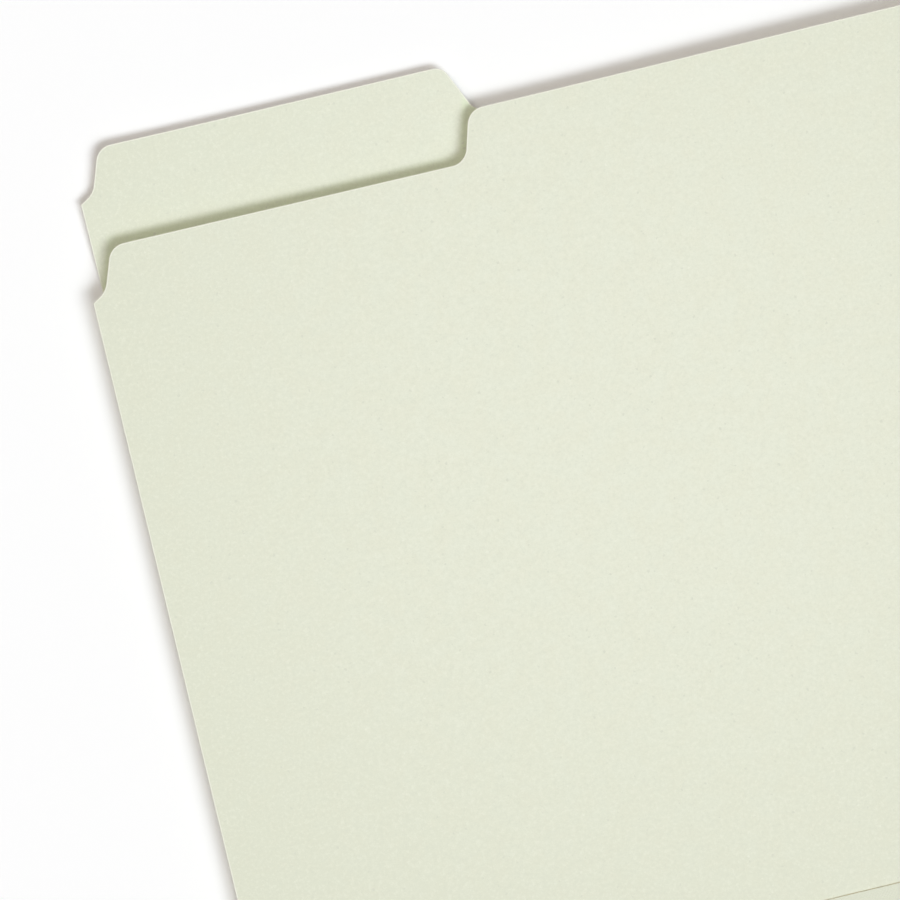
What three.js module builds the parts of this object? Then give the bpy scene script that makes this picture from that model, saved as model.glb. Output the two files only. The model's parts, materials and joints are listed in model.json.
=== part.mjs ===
// A top tab file folder of letter size: two pressed boards joined along the bottom by a cloth gusset.
// Millimetres. The folder lies on its back board: +X runs along its width, +Y towards the tab, +Z up.
// The back board carries a tab at the left end of its top edge. The front board is cut lower there, so
// that the tab can be read, and lies parallel to the back board over a folded gusset.

import * as THREE from 'three';

// Boards
const BOARD_WIDTH = 298.45;
const BODY_HEIGHT = 228.6;
const BOARD_THICKNESS = 0.64;
const FAR_CORNER_RADIUS = 5;
// How far the front board was glued towards the left of the back board
const FRONT_SHIFT = 2.2;

// Tab of the back board, from its left end to the foot of its right end. Its top edge falls a little
// towards the right.
const TAB_HEIGHT = 12.7;
const TAB_FALL = 0.4;
const TAB_FOOT_WIDTH = 100.3;
const TAB_RIGHT_LEAN = 24.5;
const TAB_RIGHT_RADIUS = 3.7;

// Cut in the front board: how far it lies under the top edge, and its step up at the right
const CUT_DEPTH = 12.05;
const CUT_FALL = 0.5;
const CUT_STEP_WIDTH = 100.7;
const CUT_STEP_LEAN = 16.6;
const CUT_FOOT_RADIUS = 4.5;
const CUT_SHOULDER_RADIUS = 4.7;

// The left end of the tab and of the cut come from one die: an ear that rises inwards from the board's
// side, and then a steep flank that is rounded into the top edge
const EAR_LENGTH = 4.15;
const EAR_RISE = 30.5;
const FLANK_LEAN = 20;
const EAR_RADIUS = 5.7;
const FLANK_RADIUS = 4.6;

// Cloth gusset
const CLOTH_THICKNESS = 0.25;
const CLOTH_END_INSET = 3.2;
const FLAP_HEIGHT = 19;
const LEAF_HEIGHT = 12.7;
const GLUE_THICKNESS = 0.1;

// Clearances: room between the boards at rest, cloth off the edge and the face of a board, and the
// slit that each crease keeps between the two strips of cloth that meet in it
const POCKET_GAP = 4.9;
const EDGE_CLEARANCE = 0.3;
const FACE_CLEARANCE = 0.3;
const CREASE_CLEARANCE = 0.1;

const ARC_SEGMENTS = 10;

const board = { color: 0xe5e8d6, roughness: 0.82, metalness: 0 };
const cloth = { color: 0xdcdfcb, roughness: 0.7, metalness: 0 };
const glue = { color: 0xe9e6d8, roughness: 0.5, metalness: 0 };

const radians = THREE.MathUtils.degToRad;

// Corners of an outline in order. A corner with a radius is rounded by an arc that touches both of its
// sides, on whichever side of the outline the round lies.
function roundedShape(corners) {
  const shape = new THREE.Shape();
  corners.forEach(({ x, y, radius = 0 }, i) => {
    const corner = new THREE.Vector2(x, y);
    const before = corners.at(i - 1);
    const after = corners[(i + 1) % corners.length];
    const back = new THREE.Vector2(before.x, before.y).sub(corner).normalize();
    const on = new THREE.Vector2(after.x, after.y).sub(corner).normalize();
    const half = Math.acos(back.dot(on)) / 2;
    const reach = radius / Math.tan(half);
    const start = corner.clone().addScaledVector(back, reach);
    if (i === 0) {
      shape.moveTo(start.x, start.y);
    } else {
      shape.lineTo(start.x, start.y);
    }
    if (radius > 0) {
      const centre = back.clone().add(on).setLength(radius / Math.sin(half)).add(corner);
      const end = corner.clone().addScaledVector(on, reach);
      const clockwise = back.cross(on) > 0;
      shape.absarc(
        centre.x,
        centre.y,
        radius,
        Math.atan2(start.y - centre.y, start.x - centre.x),
        Math.atan2(end.y - centre.y, end.x - centre.x),
        clockwise,
      );
    }
  });
  shape.closePath();
  return shape;
}

// The die's left end, from the point on the board's side where it starts to the top edge
function dieEnd(x, y, rise) {
  const foot = {
    x: x + EAR_LENGTH * Math.cos(radians(EAR_RISE)),
    y: y + EAR_LENGTH * Math.sin(radians(EAR_RISE)),
  };
  const flankRise = rise - (foot.y - y);
  return [
    { x, y },
    { ...foot, radius: EAR_RADIUS },
    { x: foot.x + flankRise * Math.tan(radians(FLANK_LEAN)), y: y + rise, radius: FLANK_RADIUS },
  ];
}

// Both outlines start at the bottom left corner of their board and run clockwise, seen from the front
function backOutline() {
  const tabRight = BODY_HEIGHT + TAB_HEIGHT - TAB_FALL;
  const lean = (tabRight - BODY_HEIGHT) * Math.tan(radians(TAB_RIGHT_LEAN));
  return [
    { x: 0, y: 0 },
    ...dieEnd(0, BODY_HEIGHT, TAB_HEIGHT),
    { x: TAB_FOOT_WIDTH - lean, y: tabRight, radius: TAB_RIGHT_RADIUS },
    { x: TAB_FOOT_WIDTH, y: BODY_HEIGHT, radius: TAB_RIGHT_RADIUS },
    { x: BOARD_WIDTH, y: BODY_HEIGHT, radius: FAR_CORNER_RADIUS },
    { x: BOARD_WIDTH, y: 0 },
  ];
}

function frontOutline() {
  const cutLeft = BODY_HEIGHT - CUT_DEPTH;
  const cutRight = cutLeft - CUT_FALL;
  const lean = (BODY_HEIGHT - cutRight) * Math.tan(radians(CUT_STEP_LEAN));
  return [
    { x: 0, y: 0 },
    ...dieEnd(0, cutLeft - TAB_HEIGHT, TAB_HEIGHT),
    { x: CUT_STEP_WIDTH - lean, y: cutRight, radius: CUT_FOOT_RADIUS },
    { x: CUT_STEP_WIDTH, y: BODY_HEIGHT, radius: CUT_SHOULDER_RADIUS },
    { x: BOARD_WIDTH, y: BODY_HEIGHT, radius: FAR_CORNER_RADIUS },
    { x: BOARD_WIDTH, y: 0 },
  ];
}

function named(name, geometry, look) {
  const mesh = new THREE.Mesh(geometry, new THREE.MeshStandardMaterial(look));
  mesh.name = name;
  return mesh;
}

function boardMesh(name, outline) {
  const geometry = new THREE.ExtrudeGeometry(roundedShape(outline), {
    depth: BOARD_THICKNESS,
    bevelEnabled: false,
    curveSegments: ARC_SEGMENTS,
  });
  return named(name, geometry, board);
}

// A strip of sheet as long as the gusset, from y0 to y1 and z0 to z1 in the place it is added to
function strip(name, look, y0, y1, z0, z1) {
  const length = BOARD_WIDTH - 2 * CLOTH_END_INSET;
  const geometry = new THREE.BoxGeometry(length, y1 - y0, z1 - z0);
  const mesh = named(name, geometry, look);
  mesh.position.set(BOARD_WIDTH / 2, (y0 + y1) / 2, (z0 + z1) / 2);
  return mesh;
}

// Heights over the surface that the folder lies on, for the back half. The front half is its mirror
// image about the middle height.
const boardBottom = CLOTH_THICKNESS + GLUE_THICKNESS;
const boardTop = boardBottom + BOARD_THICKNESS;
const leafCrease = boardTop + FACE_CLEARANCE;
const middle = boardTop + POCKET_GAP / 2;
const total = 2 * middle;
// The cloth round a board's bottom edge stands between these two
const foldInside = -EDGE_CLEARANCE;
const foldOutside = foldInside - CLOTH_THICKNESS;
// A leaf rises by this angle from its crease, so that its outer face meets the other leaf's halfway
const leafReach = Math.hypot(LEAF_HEIGHT, CLOTH_THICKNESS);
const leafAngle =
  Math.asin((middle - leafCrease) / leafReach) - Math.atan2(CLOTH_THICKNESS, LEAF_HEIGHT);

// Back half: flap glued under the board, cloth round the board's edge, and the lower leaf
function backHalf() {
  const half = new THREE.Group();
  const flapFoot = foldInside + CREASE_CLEARANCE;
  const plate = boardMesh('back_panel', backOutline());
  plate.position.z = boardBottom;
  half.add(
    plate,
    strip('gusset_back_flap', cloth, flapFoot, FLAP_HEIGHT, 0, CLOTH_THICKNESS),
    strip('back_glue_film', glue, 0, FLAP_HEIGHT, CLOTH_THICKNESS, boardBottom),
    strip(
      'gusset_back_fold',
      cloth,
      foldOutside,
      foldInside,
      CLOTH_THICKNESS + CREASE_CLEARANCE,
      leafCrease - CREASE_CLEARANCE,
    ),
    leaf('gusset_back_leaf', leafCrease, leafAngle, 0, CLOTH_THICKNESS),
  );
  return half;
}

// Front half: the upper leaf, cloth round the board's edge, the board, and the flap glued on it
function frontHalf() {
  const half = new THREE.Group();
  const flapFoot = foldInside + CREASE_CLEARANCE;
  const plate = boardMesh('front_panel', frontOutline());
  plate.position.set(-FRONT_SHIFT, 0, total - boardTop);
  half.add(
    leaf('gusset_front_leaf', total - leafCrease, -leafAngle, -CLOTH_THICKNESS, 0),
    strip(
      'gusset_front_fold',
      cloth,
      foldOutside,
      foldInside,
      total - leafCrease + CREASE_CLEARANCE,
      total - CLOTH_THICKNESS - CREASE_CLEARANCE,
    ),
    plate,
    strip('front_glue_film', glue, 0, FLAP_HEIGHT, total - boardBottom, total - CLOTH_THICKNESS),
    strip('gusset_front_flap', cloth, flapFoot, FLAP_HEIGHT, total - CLOTH_THICKNESS, total),
  );
  return half;
}

// A leaf lies in a group that is turned about its crease with the board
function leaf(name, height, angle, z0, z1) {
  const turned = new THREE.Group();
  turned.position.set(0, foldInside, height);
  turned.rotation.x = angle;
  turned.add(strip(name, cloth, CREASE_CLEARANCE, LEAF_HEIGHT - CREASE_CLEARANCE, z0, z1));
  return turned;
}

// The origin is under the middle of the folder, on the surface that it lies on
const folder = new THREE.Group();
folder.name = 'top_tab_file_folder';
folder.position.set(
  -(BOARD_WIDTH - FRONT_SHIFT) / 2,
  -(BODY_HEIGHT + TAB_HEIGHT + foldOutside) / 2,
  0,
);
folder.add(backHalf(), frontHalf());

export default folder;
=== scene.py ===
# %% [markdown]
# # A top tab file folder in pressed board
#
# The folder lies on its back board, closed. Two boards of grey-green pressed fibre are joined along
# the bottom by a strip of cloth that is folded like a bellows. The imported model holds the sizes, the
# places and the joints. This lesson only dresses it: each board and each stretch of cloth is made
# again as a finer mesh in the very place where the model has it, and gets its finish.

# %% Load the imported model
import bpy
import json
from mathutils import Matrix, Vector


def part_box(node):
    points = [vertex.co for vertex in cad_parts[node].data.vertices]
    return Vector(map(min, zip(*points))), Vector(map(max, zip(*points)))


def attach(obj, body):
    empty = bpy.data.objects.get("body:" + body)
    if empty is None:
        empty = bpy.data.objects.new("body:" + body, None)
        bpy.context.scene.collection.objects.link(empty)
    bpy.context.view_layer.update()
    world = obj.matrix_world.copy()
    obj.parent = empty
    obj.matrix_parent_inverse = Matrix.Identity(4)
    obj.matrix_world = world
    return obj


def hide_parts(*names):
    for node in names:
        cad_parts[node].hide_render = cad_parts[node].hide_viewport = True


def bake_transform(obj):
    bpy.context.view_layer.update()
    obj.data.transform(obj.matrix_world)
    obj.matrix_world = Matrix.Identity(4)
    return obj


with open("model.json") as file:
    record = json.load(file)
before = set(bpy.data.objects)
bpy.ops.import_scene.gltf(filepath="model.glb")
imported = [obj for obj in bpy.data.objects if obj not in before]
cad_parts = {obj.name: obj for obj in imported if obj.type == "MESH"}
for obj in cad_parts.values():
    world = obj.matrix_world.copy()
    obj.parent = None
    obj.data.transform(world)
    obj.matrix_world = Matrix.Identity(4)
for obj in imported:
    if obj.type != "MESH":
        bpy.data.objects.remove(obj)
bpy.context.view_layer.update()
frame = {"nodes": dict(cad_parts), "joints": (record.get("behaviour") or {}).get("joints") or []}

# %% Libraries and units
import json
import math

import bmesh
import bpy
from mathutils import Matrix, Vector, noise

MM = 0.001
scene = bpy.context.scene
nodes = frame["nodes"]
print("nodes to dress:", sorted(nodes))

# %% [markdown]
# ## Camera
#
# The picture is a close view of the folder's top left corner from straight above. The folder looks
# turned by 13.5 degrees, so it is the camera that is turned about the vertical, and the folder stays
# square to its own axes. A long lens keeps the two boards' edges nearly parallel, as they are in the
# picture. The camera's height follows from how many pixels a millimetre takes at the back board.

# %% Camera
PICTURE_SIDE = 900
PIXELS_PER_MM = 4.03
LENS_MM = 100
SENSOR_MM = 36
CAMERA_TURN = math.radians(-13.56)
VIEW_CENTRE = Vector((-73.64, 27.95)) * MM

board_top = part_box("back_panel")[1].z
focal_pixels = PICTURE_SIDE * LENS_MM / SENSOR_MM
camera_height = board_top + focal_pixels / PIXELS_PER_MM * MM

camera_data = bpy.data.cameras.new("overhead_camera")
camera_data.lens = LENS_MM
camera_data.sensor_width = SENSOR_MM
camera_data.clip_start = 0.01
camera = bpy.data.objects.new("overhead_camera", camera_data)
camera.location = (*VIEW_CENTRE, camera_height)
camera.rotation_euler = (0, 0, CAMERA_TURN)
scene.collection.objects.link(camera)
scene.camera = camera
scene.view_settings.view_transform = "Standard"
print(f"camera {camera_height:.3f} m above the surface")

# %% [markdown]
# ## Light
#
# A board's edge throws a shadow up and to the left. Above the top edge it has an even core and then a
# soft end, and beside the left edge it softens from the start. So the lamp at the lower right is a
# long one that lies along the folder's width. Three round lamps in a row stand for it, and a fourth
# among them, with a disc twice as wide, lengthens the soft end. The core is even right up to the
# board, and warm. That takes a large warm lamp on the other side, at the upper left, which the edge
# doesn't hide, and only a little light from the room all round. The first four are a little cool, so
# that all of them together show a white surface as white: at that level a colour renders as it is
# written.

# %% Lamps from far away
KEY_LIGHT = (0.548, 0.582, 0.607)
FILL_LIGHT = (0.357, 0.323, 0.298)
ROOM_LIGHT = (0.080, 0.080, 0.080)
LAMPS = {
    # name: travel per unit of fall along X and Y, width of its disc in radians, colour, share
    "long_lamp_left": (-0.54, 0.57, 0.30, KEY_LIGHT, 0.24),
    "long_lamp_middle": (-0.34, 0.57, 0.30, KEY_LIGHT, 0.24),
    "long_lamp_right": (-0.14, 0.57, 0.30, KEY_LIGHT, 0.24),
    "wide_lamp": (-0.40, 0.56, 0.64, KEY_LIGHT, 0.28),
    "fill_lamp": (0.38, -0.50, 1.10, FILL_LIGHT, 1.00),
}

# A sun lamp's strength is its light on a surface that faces it, times pi
for name, (along_x, along_y, disc, colour, share) in LAMPS.items():
    lamp_data = bpy.data.lights.new(name, "SUN")
    travel = Vector((along_x, along_y, -1))
    level = max(colour)
    lamp_data.color = [part / level for part in colour]
    lamp_data.energy = share * level * math.pi * travel.length
    lamp_data.angle = disc
    lamp = bpy.data.objects.new(name, lamp_data)
    lamp.rotation_euler = travel.to_track_quat("-Z", "Y").to_euler()
    lamp.location = -travel
    scene.collection.objects.link(lamp)
    print(name, "strength", round(lamp_data.energy, 3))

# %% [markdown]
# ## Material helpers
#
# Each finish is a small tree of nodes. One helper adds a node and fills its sockets, either with a
# number or with the output of another node. It keeps the trees below short enough to read as recipes.

# %% Helpers for node trees


def add(tree, kind, feeds=None, **settings):
    """Adds a node, with its settings and with what feeds each of its sockets."""
    made = tree.nodes.new(kind)
    for key, value in settings.items():
        setattr(made, key, value)
    for socket, value in (feeds or {}).items():
        if isinstance(value, bpy.types.NodeSocket):
            tree.links.new(value, made.inputs[socket])
        else:
            made.inputs[socket].default_value = value
    return made


def calc(tree, operation, *values, clamp=False):
    """The result of one operation on numbers or outputs, as an output."""
    made = add(tree, "ShaderNodeMath", dict(enumerate(values)), operation=operation, use_clamp=clamp)
    return made.outputs[0]


def ramp(tree, value, low, high):
    """0 where the value is at low, 1 where it is at high, and smooth between them."""
    feeds = {0: value, 1: low, 2: high, 3: 0.0, 4: 1.0}
    made = add(tree, "ShaderNodeMapRange", feeds, interpolation_type="SMOOTHSTEP")
    return made.outputs[0]


def tint(tree, amount, under, over, mode="MIX"):
    """One colour laid over another by an amount."""
    made = add(tree, "ShaderNodeMix", {0: amount, 6: under, 7: over}, data_type="RGBA", blend_type=mode)
    return made.outputs[2]


def cloud(tree, place, size, detail=2.0, roughness=0.5, distortion=0.0):
    """Soft noise whose patches are about size across, in metres."""
    feeds = {
        "Vector": place,
        "Scale": 1 / size,
        "Detail": detail,
        "Roughness": roughness,
        "Distortion": distortion,
    }
    return add(tree, "ShaderNodeTexNoise", feeds).outputs["Fac"]


def new_tree(name):
    """An empty material, its node tree and its shader."""
    material = bpy.data.materials.new(name)
    material.use_nodes = True
    tree = material.node_tree
    tree.nodes.clear()
    shader = add(tree, "ShaderNodeBsdfPrincipled")
    add(tree, "ShaderNodeOutputMaterial", {"Surface": shader.outputs[0]})
    return material, tree, shader


def finish_surface(tree, shader, colour, roughness, height, depth):
    """Joins colour, roughness and a height of so many metres to the shader."""
    bump = add(tree, "ShaderNodeBump", {"Height": height, "Distance": depth, "Strength": 1.0})
    tree.links.new(colour, shader.inputs["Base Color"])
    tree.links.new(roughness, shader.inputs["Roughness"])
    tree.links.new(bump.outputs[0], shader.inputs["Normal"])


def linear(red, green, blue):
    """A colour as a picture shows it, from 0 to 255, as the shader takes it."""
    parts = (level / 255 for level in (red, green, blue))
    return [((part + 0.055) / 1.055) ** 2.4 for part in parts] + [1.0]


print("helpers ready")

# %% [markdown]
# ## Surface and room
#
# The folder lies on white paper that is bright enough to lose its own shape. What the camera sees of
# it is pure white, apart from the folder's shadow. The light that it throws back on to the folder is
# a little weaker than that, as from real paper. The same test of the ray keeps the room white behind
# it, while the room's light itself stays warm and dim.

# %% Is a ray one that the camera sees, straight, by a reflection or through a clear thing


def seen_ray(tree):
    ray = add(tree, "ShaderNodeLightPath").outputs
    straight_or_glossy = calc(tree, "MAXIMUM", ray["Is Camera Ray"], ray["Is Glossy Ray"])
    return calc(tree, "MAXIMUM", straight_or_glossy, ray["Is Transmission Ray"])


print("ray test ready")

# %% White surface
SURFACE_REACH = 4.0
SEEN_WHITE = (1.0, 1.0, 1.0, 1.0)
THROWN_BACK = (0.80, 0.80, 0.79, 1.0)

paper_white, tree, shader = new_tree("white_surface")
tree.links.new(tint(tree, seen_ray(tree), THROWN_BACK, SEEN_WHITE), shader.inputs["Base Color"])
shader.inputs["Roughness"].default_value = 1.0
shader.inputs["Specular IOR Level"].default_value = 0.0
bpy.ops.mesh.primitive_plane_add(size=2 * SURFACE_REACH)
surface = bpy.context.object
surface.name = "white_surface"
surface.data.materials.append(paper_white)
print("the white surface is", 2 * SURFACE_REACH, "m wide")

# %% Room
room = bpy.data.worlds.new("room")
room.use_nodes = True
room.node_tree.nodes.clear()
tree = room.node_tree
room_colour = tint(tree, seen_ray(tree), (*ROOM_LIGHT, 1.0), SEEN_WHITE)
room_shader = add(tree, "ShaderNodeBackground", {"Color": room_colour, "Strength": 1.0})
add(tree, "ShaderNodeOutputWorld", {"Surface": room_shader.outputs[0]})
scene.world = room
print("the room's light is", ROOM_LIGHT)

# %% [markdown]
# ## Shape of the boards
#
# Each board is die-cut from pressed fibre 0.64 mm thick. The die rolls the upper edge over and leaves
# the wall of the cut straight. The rim shows as a thin pale line: partly the paler fibre of the cut and
# partly a painted highlight. The board could be the imported solid with a bevel, but its faces are
# single flat polygons, which can neither curl nor shade softly. So the outline is read from the imported
# solid, and the board is drawn round it again as a stack of rings. Then it is cut into a fine grid that
# can bend.

# %% Outline of a board, from the top face of its solid


def outline_of(name):
    """The corners of the board's outline in order, counter-clockwise seen from above."""
    solid = bmesh.new()
    solid.from_mesh(nodes[name].data)
    bmesh.ops.remove_doubles(solid, verts=solid.verts, dist=1e-7)
    top = max(v.co.z for v in solid.verts)
    faces = {f for f in solid.faces if min(v.co.z for v in f.verts) > top - 1e-6}
    onward = {}
    for face in faces:
        for loop in face.loops:
            if not any(other in faces for other in loop.edge.link_faces if other is not face):
                onward[loop.vert.index] = loop.link_loop_next.vert.index
    solid.verts.ensure_lookup_table()
    first = min(onward)
    order = [first]
    while onward[order[-1]] != first:
        order.append(onward[order[-1]])
    corners = [solid.verts[i].co.to_2d() for i in order]
    solid.free()
    return corners


def moved_in(corners, inset):
    """The outline moved inwards by inset, with each corner on the bisector of its two sides."""
    moved = []
    for i, corner in enumerate(corners):
        before = (corner - corners[i - 1]).normalized()
        after = (corners[(i + 1) % len(corners)] - corner).normalized()
        inward = (before.orthogonal() + after.orthogonal()).normalized()
        moved.append(corner + inward * inset / inward.dot(after.orthogonal()))
    return moved


outlines = {name: outline_of(name) for name in ("back_panel", "front_panel")}
print("points in each outline:", {name: len(corners) for name, corners in outlines.items()})

# %% The three straight edges of the cut in the front board, between two depths under its top edge
CUT_SHALLOWEST = 0.1 * MM
CUT_DEEPEST = 26 * MM


def longest_sides(corners, low, high, count):
    """The longest sides of the outline that lie between two heights, from left to right."""
    sides = [(a, b) for a, b in zip(corners, corners[1:] + corners[:1])]
    within = [side for side in sides if all(low < point.y < high for point in side)]
    longest = sorted(within, key=lambda side: (side[0] - side[1]).length)[-count:]
    return sorted(longest, key=lambda side: side[0].x + side[1].x)


def as_line(side, axis):
    """Slope and start of the line through a side, as the other coordinate over the one along axis."""
    one, other = side
    slope = (other[1 - axis] - one[1 - axis]) / (other[axis] - one[axis])
    return slope, one[1 - axis] - slope * one[axis]


front_top = max(corner.y for corner in outlines["front_panel"])
cut_low = front_top - CUT_DEEPEST
cut_high = front_top - CUT_SHALLOWEST
flank_edge, long_edge, step_edge = longest_sides(outlines["front_panel"], cut_low, cut_high, 3)
# The long edge is y over x. The flank at its left and the step at its right are x over y
CUT_FLANK = as_line(flank_edge, 1)
CUT_EDGE = as_line(long_edge, 0)
CUT_STEP = as_line(step_edge, 1)
print("slope and start of the cut's three edges:", CUT_FLANK, CUT_EDGE, CUT_STEP)

# %% Rings of the rim, as inset and height in millimetres, from the upper face round to the lower
THICKNESS = 0.64
RIM = [
    (0.90, THICKNESS),
    (0.42, THICKNESS - 0.002),
    (0.24, THICKNESS - 0.010),
    (0.09, THICKNESS - 0.035),
    (0.02, THICKNESS - 0.075),
    (0.0, THICKNESS - 0.14),
    (0.0, 0.40 * THICKNESS),
    (0.0, 0.13),
    (0.03, 0.05),
    (0.10, 0.012),
    (0.35, 0.0),
    (0.90, 0.0),
]
# How much of the pale cut, with its painted highlight, shows in each ring, from the plain face at 0 to the
# wall of the cut at 1
CUT_AND_HIGHLIGHT_SHOWS = [0.0, 0.0, 0.8, 1.0, 1.0, 1.0, 1.0, 1.0, 1.0, 0.6, 0.05, 0.0]
print("rings in the rim:", len(RIM))

# %% A board as rings round its outline, cut into a grid and then bent
GRID_STEP = 5.0 * MM


def board_mesh(name, corners, base, lift):
    """A closed board over the outline, on height base, whose every point is raised by lift(x, y)."""
    shape = bmesh.new()
    shows = shape.verts.layers.float.new("cut")
    inside = shape.verts.layers.float.new("inner")
    rings = []
    for (inset, height), share in zip(RIM, CUT_AND_HIGHLIGHT_SHOWS):
        ring = [shape.verts.new((*place, base + height * MM)) for place in moved_in(corners, inset * MM)]
        faces_up = height > THICKNESS / 2
        for vert in ring:
            vert[shows] = share
            # The back board's upper face and the front board's lower face lie inside the folder
            vert[inside] = faces_up == (name == "back_panel")
        rings.append(ring)
    count = len(corners)
    for upper, lower in zip(rings, rings[1:]):
        for i in range(count):
            after = (i + 1) % count
            shape.faces.new((upper[i], lower[i], lower[after], upper[after]))
    shape.faces.new(rings[0])
    shape.faces.new(reversed(rings[-1]))
    for axis in (0, 1):
        places = [corner[axis] for corner in corners]
        steps = round((max(places) - min(places)) / GRID_STEP)
        for step in range(1, steps):
            at = Vector((0, 0, 0))
            normal = Vector((0, 0, 0))
            at[axis] = min(places) + (max(places) - min(places)) * step / steps
            normal[axis] = 1
            parts = shape.verts[:] + shape.edges[:] + shape.faces[:]
            bmesh.ops.bisect_plane(shape, geom=parts, plane_co=at, plane_no=normal, dist=1e-7)
    for vert in shape.verts:
        vert.co.z += lift(vert.co.x, vert.co.y)
    for face in shape.faces:
        face.smooth = True
    mesh = bpy.data.meshes.new(name)
    shape.to_mesh(mesh)
    shape.free()
    print(name, "has", len(mesh.polygons), "faces")
    return mesh


# %% [markdown]
# ## How the boards have curled
#
# No pressed board stays quite flat. The shadows tell how far each edge stands off the surface. The
# tab's top edge stands higher than the board below it, and the back board's left edge turns up beside
# the tab. The front board's top edge waves a little: it is lowest just right of the cut's step, and
# rises from there to either side. Its left side is bowed, with the highest place low down. Both
# boards are flat where the cloth is glued to them.

# %% Curl of each board
BACK_CURL = 0.95 * MM
TAB_CURL = 1.85 * MM
SIDE_CURL = 1.0 * MM
SIDE_CURL_REACH = 45 * MM
FRONT_LEAST_CURL = 0.15 * MM
FRONT_LEFT_CURL = 1.3 * MM
FRONT_RIGHT_CURL = 1.4 * MM
FRONT_RIGHT_REACH = 80 * MM
FRONT_SIDE_BOW = 0.85 * MM
flap_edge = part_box("gusset_back_flap")[1].y
back_low, back_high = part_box("back_panel")
front_low, front_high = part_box("front_panel")
TAB_BEND_FROM = front_high.y - 18 * MM
FRONT_LOWEST_X = front_low.x + 118 * MM


def share_between(value, low, high):
    return min(max((value - low) / (high - low), 0), 1)


def back_lift(x, y):
    board = share_between(y, flap_edge, back_high.y)
    tab = share_between(y, TAB_BEND_FROM, back_high.y)
    side = share_between(-x, -back_low.x - SIDE_CURL_REACH, -back_low.x)
    return BACK_CURL * board**2 + TAB_CURL * tab**1.6 + SIDE_CURL * side**2 * board**4


def front_lift(x, y):
    up = share_between(y, flap_edge, front_high.y)
    left = share_between(-x, -FRONT_LOWEST_X, -front_low.x)
    right = share_between(x, FRONT_LOWEST_X, FRONT_LOWEST_X + FRONT_RIGHT_REACH)
    top = FRONT_LEAST_CURL + FRONT_LEFT_CURL * left**1.5 + FRONT_RIGHT_CURL * right**2 * (3 - 2 * right)
    # The bow is 1 where it is highest, at a third of the way up
    bow = up * (1 - up) ** 2 * 6.75
    return top * up**3 + FRONT_SIDE_BOW * left**2 * bow


print("the back board's top left is lifted by", back_lift(back_low.x, back_high.y), "m")
print("the front board's top left is lifted by", front_lift(front_low.x, front_high.y), "m")

# %% [markdown]
# ## Finish of the boards
#
# Pressed board is made from many thin wet layers of fibre, pressed hard and dried. The colour is the
# same through and through. Its surface is matt, softly clouded where the fibres lay thick or thin,
# and strewn with small darker and lighter bits of fibre. A painted falloff of light darkens it the
# farther it lies from one place on it. The faces inside the folder carry painted shade: a greener tint
# that stands for the colour of the shade under the front board, full under it and fading out a few
# millimetres beyond its cut edge. A cut edge has no pressed skin, so it is paler and rough, and a
# painted highlight along the rim makes it paler still. All of this is drawn by noise at its real size
# in the board's own coordinates.

# %% Pressed board
# Colour of the board where it is a little warmer or cooler, where its painted falloff of light is
# deepest, and of its painted shade by the front board's cut; then of its darker and lighter bits, and of
# a cut with its painted highlight
BOARD_WARM = linear(231, 233, 214)
BOARD_COOL = linear(231, 234, 216)
BOARD_PAINTED_FALLOFF = linear(218, 221, 200)
BOARD_PAINTED_SHADE = linear(227, 240, 204)
DARKER = linear(217, 220, 202)
LIGHTER = linear(241, 243, 227)
CUT_AND_HIGHLIGHT_COLOUR = linear(243, 244, 230)
# Painted falloff of light: the board is lightest at this place and darkens from the first distance to the
# second
PAINTED_FALLOFF_CENTRE = (-21 * MM, 26 * MM, 0)
PAINTED_FALLOFF_FROM = 15 * MM
PAINTED_FALLOFF_FULLY = 260 * MM
# Painted shade beyond the front board's cut: full within the first distance, gone at the second, rounded at
# the cut's corners, and laid on at a share
PAINTED_SHADE_WITHIN = 1.4 * MM
PAINTED_SHADE_FADE = 4.0 * MM
PAINTED_SHADE_RIGHT_CORNER = 3.0 * MM
PAINTED_SHADE_LEFT_CORNER = 1.0 * MM
# The painted shade fades sooner at the two ends of the cut
PAINTED_SHADE_END_HASTE = 1.5
PAINTED_SHADE_SHARE = 0.5
CLOUD_SIZE = 0.9 * MM
FLECK_CELL = 1.5 * MM
FIBRE_SIZE = 0.8 * MM


def flecks(tree, place, cell, share, widest):
    """1 inside small bits that lie in some of the cells, and 0 round them."""
    wander = add(tree, "ShaderNodeTexNoise", {"Vector": place, "Scale": 2.6 / cell, "Detail": 1.0})
    pushed = add(
        tree,
        "ShaderNodeVectorMath",
        {0: wander.outputs["Color"], 1: (0.55 * cell,) * 3, 2: place},
        operation="MULTIPLY_ADD",
    )
    cells = add(tree, "ShaderNodeTexVoronoi", {"Vector": pushed.outputs[0], "Scale": 1 / cell})
    draws = add(tree, "ShaderNodeSeparateColor", {0: cells.outputs["Color"]}).outputs
    chosen = calc(tree, "LESS_THAN", draws["Red"], share)
    reach = calc(tree, "MULTIPLY_ADD", draws["Green"], widest / cell, 0.3 * widest / cell)
    inner = calc(tree, "MULTIPLY", reach, 0.45)
    inside = ramp(tree, cells.outputs["Distance"], reach, inner)
    return calc(tree, "MULTIPLY", chosen, inside)


def fibres(tree, place, size, width):
    """Thin curled lines, as of single fibres, broken into short stretches."""
    field = cloud(tree, place, size, detail=1.0, distortion=0.6)
    off = calc(tree, "ABSOLUTE", calc(tree, "SUBTRACT", field, 0.5))
    line = ramp(tree, off, width, 0.0)
    kept = ramp(tree, cloud(tree, place, 0.8 * size, detail=0.0), 0.5, 0.6)
    return calc(tree, "MULTIPLY", line, kept)


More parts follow.
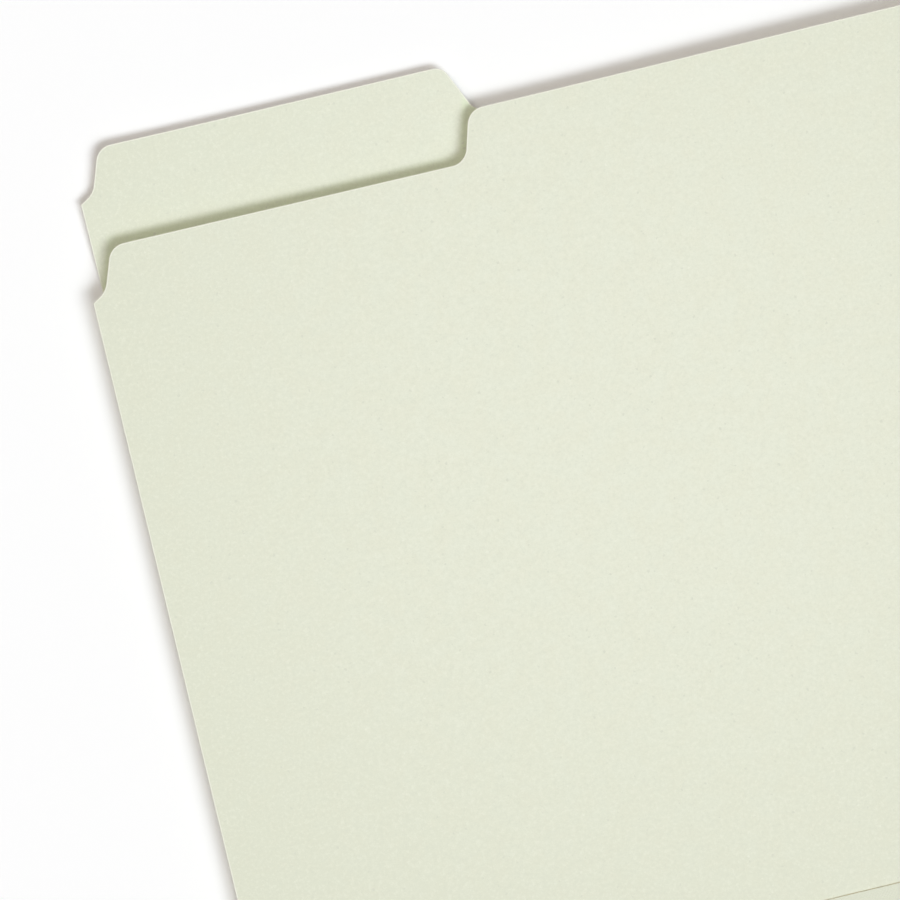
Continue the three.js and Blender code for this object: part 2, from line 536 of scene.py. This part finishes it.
def beyond_cover(tree, place):
    """How far a place lies beyond the front board's cut, in metres, which counts more at its ends."""
    parts = add(tree, "ShaderNodeSeparateXYZ", {0: place}).outputs
    above = calc(tree, "SUBTRACT", parts["Y"], calc(tree, "MULTIPLY_ADD", parts["X"], *CUT_EDGE))
    right = calc(tree, "SUBTRACT", calc(tree, "MULTIPLY_ADD", parts["Y"], *CUT_STEP), parts["X"])
    left = calc(tree, "SUBTRACT", calc(tree, "MULTIPLY_ADD", parts["Y"], *CUT_FLANK), parts["X"])
    right = calc(tree, "MULTIPLY", right, PAINTED_SHADE_END_HASTE)
    left = calc(tree, "MULTIPLY", left, PAINTED_SHADE_END_HASTE)
    notch = calc(tree, "SMOOTH_MIN", above, right, PAINTED_SHADE_RIGHT_CORNER)
    return calc(tree, "SMOOTH_MAX", notch, left, PAINTED_SHADE_LEFT_CORNER)


def pressed_board():
    material, tree, shader = new_tree("pressed_board")
    place = add(tree, "ShaderNodeTexCoord").outputs["Object"]
    patch = cloud(tree, place, 7 * MM, detail=4.0, roughness=0.6)
    mottle = cloud(tree, place, CLOUD_SIZE, detail=3.0, roughness=0.65)
    grain = cloud(tree, place, 0.30 * MM, detail=2.0)
    dark = flecks(tree, place, FLECK_CELL, 0.16, 0.36 * MM)
    light = flecks(tree, place, 1.3 * FLECK_CELL, 0.14, 0.34 * MM)
    hair = fibres(tree, place, FIBRE_SIZE, 0.014)

    colour = tint(tree, ramp(tree, patch, 0.35, 0.65), BOARD_WARM, BOARD_COOL)
    # Painted falloff of light: darker the farther from one place on the board
    away = add(tree, "ShaderNodeVectorMath", {0: place, 1: PAINTED_FALLOFF_CENTRE}, operation="DISTANCE")
    painted_falloff = ramp(tree, away.outputs["Value"], PAINTED_FALLOFF_FROM, PAINTED_FALLOFF_FULLY)
    colour = tint(tree, painted_falloff, colour, BOARD_PAINTED_FALLOFF)
    # Painted shade: a greener tint on the faces inside the folder, full under the front board and fading
    # out just beyond its cut
    inner = add(tree, "ShaderNodeAttribute", attribute_name="inner").outputs["Fac"]
    shaded = ramp(tree, beyond_cover(tree, place), PAINTED_SHADE_FADE, PAINTED_SHADE_WITHIN)
    kept = calc(tree, "MULTIPLY", calc(tree, "MULTIPLY", inner, shaded), PAINTED_SHADE_SHARE)
    colour = tint(tree, kept, colour, BOARD_PAINTED_SHADE)
    thick = calc(tree, "MULTIPLY_ADD", mottle, 0.7, calc(tree, "MULTIPLY", grain, 0.3))
    colour = tint(tree, calc(tree, "MULTIPLY", ramp(tree, thick, 0.52, 0.30), 0.42), colour, DARKER)
    colour = tint(tree, calc(tree, "MULTIPLY", ramp(tree, thick, 0.48, 0.70), 0.42), colour, LIGHTER)
    colour = tint(tree, calc(tree, "MULTIPLY", hair, 0.20), colour, LIGHTER)
    colour = tint(tree, calc(tree, "MULTIPLY", dark, 0.75), colour, DARKER)
    colour = tint(tree, calc(tree, "MULTIPLY", light, 0.5), colour, LIGHTER)
    # Pale cut: partly the raw fibre's own paler colour, partly a painted highlight along the rim
    cut = add(tree, "ShaderNodeAttribute", attribute_name="cut").outputs["Fac"]
    ragged = calc(tree, "MULTIPLY_ADD", grain, 0.7, calc(tree, "SUBTRACT", cut, 0.35))
    shows = ramp(tree, ragged, 0.2, 0.75)
    colour = tint(tree, calc(tree, "MULTIPLY", shows, 0.9), colour, CUT_AND_HIGHLIGHT_COLOUR)

    height = calc(tree, "MULTIPLY_ADD", mottle, 0.6, calc(tree, "MULTIPLY", grain, 0.5))
    height = calc(tree, "MULTIPLY_ADD", hair, 0.25, height)
    height = calc(tree, "MULTIPLY_ADD", dark, -0.3, height)
    height = calc(tree, "MULTIPLY_ADD", calc(tree, "MULTIPLY", grain, shows), 1.2, height)
    roughness = calc(tree, "MULTIPLY_ADD", mottle, 0.14, 0.70)
    finish_surface(tree, shader, colour, roughness, height, 0.03 * MM)
    shader.inputs["Specular IOR Level"].default_value = 0.35
    return material


board_finish = pressed_board()
print("nodes in the finish of the boards:", len(board_finish.node_tree.nodes))

# %% Both boards
for name, lift in (("back_panel", back_lift), ("front_panel", front_lift)):
    shape = board_mesh(name, outlines[name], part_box(name)[0].z, lift)
    board = bpy.data.objects.new(name.replace("panel", "board"), shape)
    board.data.materials.append(board_finish)
    scene.collection.objects.link(board)
    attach(board, "back_cover" if name == "back_panel" else "front_cover")
    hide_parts(name)

# %% [markdown]
# ## Shape of the gusset
#
# The gusset is one strip of coated cloth. It starts as a flap under the back board, goes round that
# board's lower edge, in between the boards as one leaf, back out as the other leaf, round the front
# board's lower edge, and ends as a flap on the front board. Seen from the end it is one line with
# five bends. The line is built from the imported boxes of its stretches, with a round at each bend, and
# is then given its thickness. The cloth bends across five joints, and a piece can only bend across
# one, so the line is cut once in each straight stretch between two bends. The cut ends meet face to
# face.

# %% Corners of the line that the gusset follows, in the plane across it
CLOTH_THICKNESS = 0.25 * MM
BEND_RADIUS = 0.30 * MM
CREASE_RADIUS = 0.13 * MM
BEND_STEPS = 8
STRAIGHT_STEP = 1.2 * MM

flap_low, flap_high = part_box("gusset_back_flap")
top_low, top_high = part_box("gusset_front_flap")
fold_low, fold_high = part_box("gusset_back_fold")
back_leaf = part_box("gusset_back_leaf")
front_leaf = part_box("gusset_front_leaf")
edge_y = (fold_low.y + fold_high.y) / 2
flap_z = (flap_low.z + flap_high.z) / 2
top_z = (top_low.z + top_high.z) / 2
leaf_z = back_leaf[0].z + CLOTH_THICKNESS / 2
upper_leaf_z = front_leaf[1].z - CLOTH_THICKNESS / 2
crease_hinge = next(j for j in frame["joints"] if j["name"] == "gusset_middle_crease")
hinge_y, crease_z = crease_hinge["pos_m"][1:]
# The round of the middle crease is centred on the hinge, so its corner lies beyond it by as much as
# the slope of the leaves says, and the slope depends on the corner in turn
crease_y = hinge_y
for attempt in range(6):
    leaf_slope = math.atan2(crease_z - leaf_z, crease_y - edge_y)
    crease_y = hinge_y + CREASE_RADIUS / math.sin(leaf_slope)

GUSSET_CORNERS = [
    (Vector((flap_high.y, flap_z)), 0),
    (Vector((edge_y, flap_z)), BEND_RADIUS),
    (Vector((edge_y, leaf_z)), BEND_RADIUS),
    (Vector((crease_y, crease_z)), CREASE_RADIUS),
    (Vector((edge_y, upper_leaf_z)), BEND_RADIUS),
    (Vector((edge_y, top_z)), BEND_RADIUS),
    (Vector((top_high.y, top_z)), 0),
]
# Share of each inner stretch, from the corner before it, at which the cloth is cut
CUT_AT = {1: 0.5, 2: 0.85, 3: 0.15, 4: 0.5}
print("leaf slope, degrees:", round(math.degrees(leaf_slope), 2))

# %% One bend with its part of the straight stretches before and after it


def bend_at(index):
    """The line through one bend, and the two ends of its round."""
    corner, radius = GUSSET_CORNERS[index]
    before = GUSSET_CORNERS[index - 1][0]
    after = GUSSET_CORNERS[index + 1][0]
    back = (before - corner).normalized()
    on = (after - corner).normalized()
    half = back.angle(on) / 2
    reach = radius / math.tan(half)
    first = corner + back * reach
    last = corner + on * reach
    middle = corner + (back + on).normalized() * radius / math.sin(half)
    start = before if index == 1 else cut_in_stretch(index - 1)
    end = after if index == len(GUSSET_CORNERS) - 2 else cut_in_stretch(index)
    line = straight(start, first)
    turn = (first - middle).angle_signed(last - middle)
    for step in range(1, BEND_STEPS):
        arm = (first - middle).copy()
        angle = -turn * step / BEND_STEPS
        arm.rotate(Matrix.Rotation(angle, 2))
        line.append(middle + arm)
    return line + straight(last, end), first, last


def reach_of(index):
    """How far the round at a corner begins before the corner."""
    corner, radius = GUSSET_CORNERS[index]
    if radius == 0:
        return 0
    back = GUSSET_CORNERS[index - 1][0] - corner
    on = GUSSET_CORNERS[index + 1][0] - corner
    return radius / math.tan(back.angle(on) / 2)


def cut_in_stretch(index):
    """Where the cloth is cut in what is straight between corner index and the next."""
    near, far = GUSSET_CORNERS[index][0], GUSSET_CORNERS[index + 1][0]
    along = (far - near).normalized()
    return (near + along * reach_of(index)).lerp(far - along * reach_of(index + 1), CUT_AT[index])


def straight(start, end):
    steps = max(2, math.ceil((end - start).length / STRAIGHT_STEP))
    return [start.lerp(end, step / steps) for step in range(steps + 1)]


BENDS = range(1, len(GUSSET_CORNERS) - 1)
print("points in the line round each bend:", [len(bend_at(index)[0]) for index in BENDS])

# %% Cloth of even thickness on a line, as long as the gusset
CLOTH_STEP = 2.5 * MM
RIPPLE = 0.03 * MM
RIPPLE_LENGTH = 14 * MM
CALM_BY_CREASE = 3 * MM
END_TUCK = 0.06 * MM


def cloth_on(name, line, run):
    """A closed strip of cloth on a line in the plane across it. It starts run metres along the gusset."""
    shape = bmesh.new()
    cloth_map = shape.loops.layers.uv.new("along_cloth")
    runs = [run]
    for before, after in zip(line, line[1:]):
        runs.append(runs[-1] + (after - before).length)
    normals = []
    for i, point in enumerate(line):
        along = line[min(i + 1, len(line) - 1)] - line[max(i - 1, 0)]
        normals.append(Vector((along.y, -along.x)).normalized())
    columns = round((flap_high.x - flap_low.x) / CLOTH_STEP)
    map_place = {}
    rows = []
    for column in range(columns + 1):
        x = flap_low.x + (flap_high.x - flap_low.x) * column / columns
        outer, inner = [], []
        for point, normal, along in zip(line, normals, runs):
            free = share_between(abs(point.y - crease_z), abs(flap_z - crease_z), abs(leaf_z - crease_z))
            free *= share_between(hinge_y - point.x, 0, CALM_BY_CREASE)
            wave = free * RIPPLE * noise.noise(Vector((x, along, 0)) / RIPPLE_LENGTH)
            # The two halves of the crease's tip slide into each other, so its ends are tucked in
            tip = share_between(point.x - hinge_y, CREASE_RADIUS / 4, CREASE_RADIUS / 2)
            tuck = END_TUCK * tip * ((column == 0) - (column == columns))
            for side, row in ((1, outer), (-1, inner)):
                at = point + normal * (side * CLOTH_THICKNESS / 2 + wave)
                vert = shape.verts.new((x + tuck, at.x, at.y))
                map_place[vert] = (x, along)
                row.append(vert)
        rows.append(outer + inner[::-1])
    around = len(rows[0])
    for left, right in zip(rows, rows[1:]):
        for i in range(around):
            after = (i + 1) % around
            shape.faces.new((left[i], left[after], right[after], right[i]))
    half = len(line)
    for row, turned in ((rows[0], True), (rows[-1], False)):
        for i in range(half - 1):
            corners = (row[i], row[i + 1], row[around - 2 - i], row[around - 1 - i])
            shape.faces.new(corners[::-1] if turned else corners)
    for face in shape.faces:
        face.smooth = True
        for loop in face.loops:
            loop[cloth_map].uv = map_place[loop.vert]
    bmesh.ops.recalc_face_normals(shape, faces=shape.faces)
    mesh = bpy.data.meshes.new(name)
    shape.to_mesh(mesh)
    shape.free()
    mesh.set_sharp_from_angle(angle=math.radians(50))
    piece = bpy.data.objects.new(name, mesh)
    scene.collection.objects.link(piece)
    print(name, "has", len(mesh.polygons), "faces and is", round((runs[-1] - run) / MM, 2), "mm wide")
    return piece, runs[-1]


print("cloth is made in steps of", CLOTH_STEP, "m")

# %% [markdown]
# ## Finish of the gusset
#
# Gusset cloth is a plain weave with a matt coating in the colour of the boards. The threads still show
# through the coating as a fine grain, each a little thicker or thinner than the next and none quite
# straight. The weave could be real threads, but there would be a quarter of a million crossings. So
# it is drawn as height: in every other square the lengthwise thread lies on top, and in the rest the
# crosswise one. It follows the cloth's own map, which runs on from one stretch to the next, so the
# threads go round the bends. Where the cloth bends again and again, its coating has cracked and worn
# to a paler line, which shows when the gusset is unfolded.

# %% Where the bends lie along the cloth, from the edge of the back flap
def length_of(line):
    return sum((after - before).length for before, after in zip(line, line[1:]))


bend_runs = []
run = 0.0
for index in BENDS:
    line, first, last = bend_at(index)
    before_bend = (first - line[0]).length
    after_bend = (line[-1] - last).length
    bend_runs.append(run + (before_bend + length_of(line) - after_bend) / 2)
    run += length_of(line)
print("bends along the cloth, in millimetres:", [round(at / MM, 2) for at in bend_runs])

# %% Coated cloth
CLOTH_COLOUR = linear(221, 224, 204)
CLOTH_WORN = linear(230, 232, 216)
CLOTH_CRACKED = linear(240, 241, 230)
THREAD_PITCH = 0.36 * MM
THREAD_WANDER = 5 * MM
WORN_HALF_WIDTH = 0.75 * MM


def woven(tree, place, pitch):
    """Height of a plain weave, from 0 between the threads to 1 on top, and a tone for each thread."""
    scaled = add(tree, "ShaderNodeVectorMath", {0: place, "Scale": 1 / pitch}, operation="SCALE")
    parts = add(tree, "ShaderNodeSeparateXYZ", {0: scaled.outputs[0]}).outputs
    # The coating fills the valleys between the threads, so their tops are round and nothing is sharp
    warp = calc(tree, "POWER", calc(tree, "SINE", calc(tree, "MULTIPLY", parts["X"], math.pi)), 2.0)
    weft = calc(tree, "POWER", calc(tree, "SINE", calc(tree, "MULTIPLY", parts["Y"], math.pi)), 2.0)
    columns = calc(tree, "FLOOR", parts["X"])
    rows = calc(tree, "FLOOR", parts["Y"])
    square = calc(tree, "PINGPONG", calc(tree, "ADD", columns, rows), 1.0)
    lengthwise = calc(tree, "MULTIPLY", warp, calc(tree, "MULTIPLY_ADD", weft, 0.5, 0.5))
    crosswise = calc(tree, "MULTIPLY", weft, calc(tree, "MULTIPLY_ADD", warp, 0.5, 0.5))
    under = calc(tree, "MULTIPLY", lengthwise, calc(tree, "SUBTRACT", 1.0, square))
    height = calc(tree, "MULTIPLY_ADD", crosswise, square, under)
    draw = {"noise_dimensions": "1D"}
    warp_tone = add(tree, "ShaderNodeTexWhiteNoise", {"W": columns}, **draw).outputs["Value"]
    weft_tone = add(tree, "ShaderNodeTexWhiteNoise", {"W": calc(tree, "ADD", rows, 0.5)}, **draw)
    turn = calc(tree, "SUBTRACT", weft_tone.outputs["Value"], warp_tone)
    return height, calc(tree, "MULTIPLY_ADD", turn, square, warp_tone)


def coated_cloth():
    material, tree, shader = new_tree("gusset_cloth")
    place = add(tree, "ShaderNodeUVMap", uv_map="along_cloth").outputs[0]
    wander = add(tree, "ShaderNodeTexNoise", {"Vector": place, "Scale": 1 / THREAD_WANDER, "Detail": 2.0})
    feeds = {0: wander.outputs["Color"], 1: (0.8 * THREAD_PITCH,) * 3, 2: place}
    threads = add(tree, "ShaderNodeVectorMath", feeds, operation="MULTIPLY_ADD").outputs[0]
    weave, tone = woven(tree, threads, THREAD_PITCH)
    weave = calc(tree, "MULTIPLY", weave, calc(tree, "MULTIPLY_ADD", tone, 0.4, 0.6))
    slub = cloud(tree, place, 3 * MM, detail=3.0)
    stain = cloud(tree, place, 24 * MM, detail=2.0)
    shade = calc(tree, "MULTIPLY_ADD", weave, 0.4, calc(tree, "MULTIPLY", slub, 0.35))
    shade = calc(tree, "MULTIPLY_ADD", tone, 0.25, shade)
    paler = calc(tree, "MULTIPLY", ramp(tree, shade, 0.25, 0.85), 0.5)
    colour = tint(tree, paler, CLOTH_COLOUR, CLOTH_WORN)
    colour = tint(tree, calc(tree, "MULTIPLY", stain, 0.25), colour, CLOTH_COLOUR)
    along = add(tree, "ShaderNodeSeparateXYZ", {0: place}).outputs["Y"]
    off = 1.0
    for at in bend_runs:
        off = calc(tree, "MINIMUM", off, calc(tree, "ABSOLUTE", calc(tree, "SUBTRACT", along, at)))
    cracked = calc(tree, "MULTIPLY_ADD", cloud(tree, place, 0.5 * MM, detail=3.0), 1.2, 0.1)
    worn = calc(tree, "MULTIPLY", ramp(tree, off, WORN_HALF_WIDTH, 0.0), cracked, clamp=True)
    colour = tint(tree, worn, colour, CLOTH_CRACKED)
    roughness = calc(tree, "MULTIPLY_ADD", weave, -0.10, 0.68)
    roughness = calc(tree, "MULTIPLY_ADD", worn, 0.15, roughness)
    height = calc(tree, "MULTIPLY_ADD", slub, 0.35, weave)
    finish_surface(tree, shader, colour, roughness, height, 0.04 * MM)
    shader.inputs["Specular IOR Level"].default_value = 0.4
    shader.inputs["Sheen Weight"].default_value = 0.05
    return material


cloth_finish = coated_cloth()
print("nodes in the finish of the cloth:", len(cloth_finish.node_tree.nodes))

# %% The five pieces of cloth, each across one joint
CLOTH_PIECES = [
    # name, body before the bend, body after it, what it rests on
    ("back_flap_cloth", "back_cover", "back_fold", "back_board"),
    ("back_edge_cloth", "back_fold", "back_leaf", "back_board"),
    ("middle_cloth", "back_leaf", "front_leaf", "back_edge_cloth"),
    ("front_edge_cloth", "front_leaf", "front_fold", "middle_cloth"),
    ("front_flap_cloth", "front_fold", "front_cover", "front_board"),
]
NODE_OF_BODY = {
    "back_cover": "gusset_back_flap",
    "back_fold": "gusset_back_fold",
    "back_leaf": "gusset_back_leaf",
    "front_leaf": "gusset_front_leaf",
    "front_fold": "gusset_front_fold",
    "front_cover": "gusset_front_flap",
}
CREASE_BAND = 0.02 * MM

run = 0.0
for index, (name, before, after, support) in enumerate(CLOTH_PIECES, start=1):
    line, first, last = bend_at(index)
    piece, end_run = cloth_on(name, line, run)
    piece.data.materials.append(cloth_finish)
    if name == "middle_cloth":
        # The two leaves nearly touch here, so the ends of the bend are moved to the very tip of the crease,
        # on the hinge's height. It lies on the hinge's height, and its two halves slide into each other as
        # the leaves open
        first = Vector((first.x, crease_z - CREASE_BAND))
        last = Vector((first.x, crease_z + CREASE_BAND))
    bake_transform(piece)
    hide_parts(NODE_OF_BODY[before], NODE_OF_BODY[after])
    run = end_run
print("the whole strip of cloth is", round(run / MM, 1), "mm wide")

# %% [markdown]
# ## Glue
#
# The cloth's two flaps are glued to the outer faces of the boards. When they are pressed on, a little
# glue comes out along the cloth's cut edge, and dries there as a thin uneven bead with some drops
# beside it. It could be a bent tube, but a real bead swells and thins all the way along. So Geometry
# Nodes runs a round profile along the edge, with noise for its width, and strews the drops. One tree
# makes both beads, each with its own ends and seed. The film of glue under the flaps is the packed
# solid, of which only the edges show.

# %% Dried glue: yellowish, smooth on top and a little cloudy
GLUE_COLOUR = linear(219, 211, 178)
GLUE_CLOUDY = linear(232, 228, 203)


def dried_glue():
    material, tree, shader = new_tree("dried_glue")
    place = add(tree, "ShaderNodeTexCoord").outputs["Object"]
    thick = cloud(tree, place, 1.6 * MM, detail=3.0)
    skin = cloud(tree, place, 0.25 * MM, detail=2.0)
    colour = tint(tree, ramp(tree, thick, 0.35, 0.65), GLUE_COLOUR, GLUE_CLOUDY)
    roughness = calc(tree, "MULTIPLY_ADD", thick, 0.30, 0.24)
    finish_surface(tree, shader, colour, roughness, skin, 0.02 * MM)
    return material


glue_finish = dried_glue()
for name in ("back_glue_film", "front_glue_film"):
    nodes[name].material_slots[0].material = glue_finish
    print(name, "has the finish", nodes[name].material_slots[0].material.name)

# %% The tree for a bead of glue
GLUE_INPUTS = {
    "Start": "NodeSocketVector",
    "End": "NodeSocketVector",
    "Bead Radius": "NodeSocketFloat",
    "Points": "NodeSocketInt",
    "Swell Length": "NodeSocketFloat",
    "Drops": "NodeSocketInt",
    "Drop Shift": "NodeSocketFloat",
    "Drop Reach": "NodeSocketFloat",
    "Seed": "NodeSocketInt",
    "Material": "NodeSocketMaterial",
}


def random_between(tree, low, high, given, salt=0):
    """A random number for each point, drawn from the tree's seed and a number of its own."""
    seed = calc(tree, "ADD", given["Seed"], salt)
    made = add(tree, "FunctionNodeRandomValue", {"Seed": seed}, data_type="FLOAT")
    for index, value in ((2, low), (3, high)):
        if isinstance(value, bpy.types.NodeSocket):
            tree.links.new(value, made.inputs[index])
        else:
            made.inputs[index].default_value = value
    return made.outputs[1]


def glue_tree():
    """A tree that makes an uneven bead from one point to another, with drops beside it."""
    tree = bpy.data.node_groups.new("squeezed_out_glue", "GeometryNodeTree")
    sockets = {}
    for name, kind in GLUE_INPUTS.items():
        sockets[name] = tree.interface.new_socket(name, in_out="INPUT", socket_type=kind).identifier
    tree.interface.new_socket("Geometry", in_out="OUTPUT", socket_type="NodeSocketGeometry")
    given = add(tree, "NodeGroupInput").outputs

    line = add(tree, "GeometryNodeCurvePrimitiveLine", {"Start": given["Start"], "End": given["End"]})
    path = add(tree, "GeometryNodeResampleCurve", {"Curve": line.outputs[0], "Count": given["Points"]})
    place = add(tree, "GeometryNodeInputPosition").outputs[0]
    shift = add(tree, "ShaderNodeCombineXYZ", {"Y": given["Seed"]}).outputs[0]
    own = add(tree, "ShaderNodeVectorMath", {0: place, 1: shift}, operation="ADD").outputs[0]
    thin = calc(tree, "DIVIDE", 1.0, given["Swell Length"])
    feeds = {"Vector": own, "Scale": thin, "Detail": 3.0, "Roughness": 0.6}
    swell = ramp(tree, add(tree, "ShaderNodeTexNoise", feeds).outputs["Fac"], 0.30, 0.72)
    width = calc(tree, "MULTIPLY_ADD", swell, 0.85, 0.25)
    feeds = {"Resolution": 8, "Radius": given["Bead Radius"]}
    profile = add(tree, "GeometryNodeCurvePrimitiveCircle", feeds).outputs[0]
    feeds = {"Curve": path.outputs[0], "Profile Curve": profile, "Scale": width, "Fill Caps": True}
    bead = add(tree, "GeometryNodeCurveToMesh", feeds).outputs[0]

    dots = add(tree, "GeometryNodeCurveToPoints", {0: line.outputs[0], "Count": given["Drops"]}).outputs[0]
    back = calc(tree, "MULTIPLY", given["Drop Shift"], -1.0)
    along = random_between(tree, back, given["Drop Shift"], given)
    away = random_between(tree, 0.0, given["Drop Reach"], given, 7)
    moved = add(tree, "ShaderNodeCombineXYZ", {"X": along, "Y": away}).outputs[0]
    strewn = add(tree, "GeometryNodeSetPosition", {"Geometry": dots, "Offset": moved}).outputs[0]
    drop = add(tree, "GeometryNodeMeshIcoSphere", {"Radius": given["Bead Radius"], "Subdivisions": 2})
    size = random_between(tree, 0.35, 1.1, given, 13)
    flat = add(tree, "ShaderNodeCombineXYZ", {"X": size, "Y": size, "Z": calc(tree, "MULTIPLY", size, 0.6)})
    feeds = {"Points": strewn, "Instance": drop.outputs[0], "Scale": flat.outputs[0]}
    drops = add(tree, "GeometryNodeInstanceOnPoints", feeds).outputs[0]

    both = add(tree, "GeometryNodeJoinGeometry")
    tree.links.new(bead, both.inputs[0])
    tree.links.new(drops, both.inputs[0])
    real = add(tree, "GeometryNodeRealizeInstances", {0: both.outputs[0]}).outputs[0]
    smooth = add(tree, "GeometryNodeSetShadeSmooth", {0: real}).outputs[0]
    dressed = add(tree, "GeometryNodeSetMaterial", {"Geometry": smooth, "Material": given["Material"]})
    add(tree, "NodeGroupOutput", {0: dressed.outputs[0]})
    return tree, sockets


glue_nodes, glue_sockets = glue_tree()
print("inputs of the tree:", glue_sockets)

# %% A bead along the cut edge of each flap
BEAD_RADIUS = 0.21 * MM
BEADS = {
    # name: (body, height of the board's outer face, seed)
    "back_glue_bead": ("back_cover", back_low.z, 3),
    "front_glue_bead": ("front_cover", front_high.z, 11),
}
BEAD_END_INSET = 0.6 * MM

for name, (body, face, seed) in BEADS.items():
    start = Vector((flap_low.x + BEAD_END_INSET, flap_edge, face))
    end = Vector((flap_high.x - BEAD_END_INSET, flap_edge, face))
    values = {
        "Start": start,
        "End": end,
        "Bead Radius": BEAD_RADIUS,
        "Points": 1200,
        "Swell Length": 3.2 * MM,
        "Drops": 26,
        "Drop Shift": 5.02 * MM,
        "Drop Reach": 0.8 * MM,
        "Seed": seed,
        "Material": glue_finish,
    }
    bead = bpy.data.objects.new(name, bpy.data.meshes.new(name))
    scene.collection.objects.link(bead)
    made = bead.modifiers.new("squeezed_out_glue", "NODES")
    made.node_group = glue_nodes
    for socket, value in values.items():
        made[glue_sockets[socket]] = value
    evaluated = bead.evaluated_get(bpy.context.evaluated_depsgraph_get())
    bead.data = bpy.data.meshes.new_from_object(evaluated)
    bead.modifiers.clear()
    bead.data.name = name
    # The empty mesh that it began as leaves an empty material slot before the glue's
    print("material slots:", bead.data.materials[:])
    bead.data.materials.clear()
    bead.data.materials.append(glue_finish)
    bead.data.polygons.foreach_set("material_index", [0] * len(bead.data.polygons))
    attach(bead, body)
    print(name, "has", len(bead.data.polygons), "faces, and its material is", bead.data.materials[0].name)
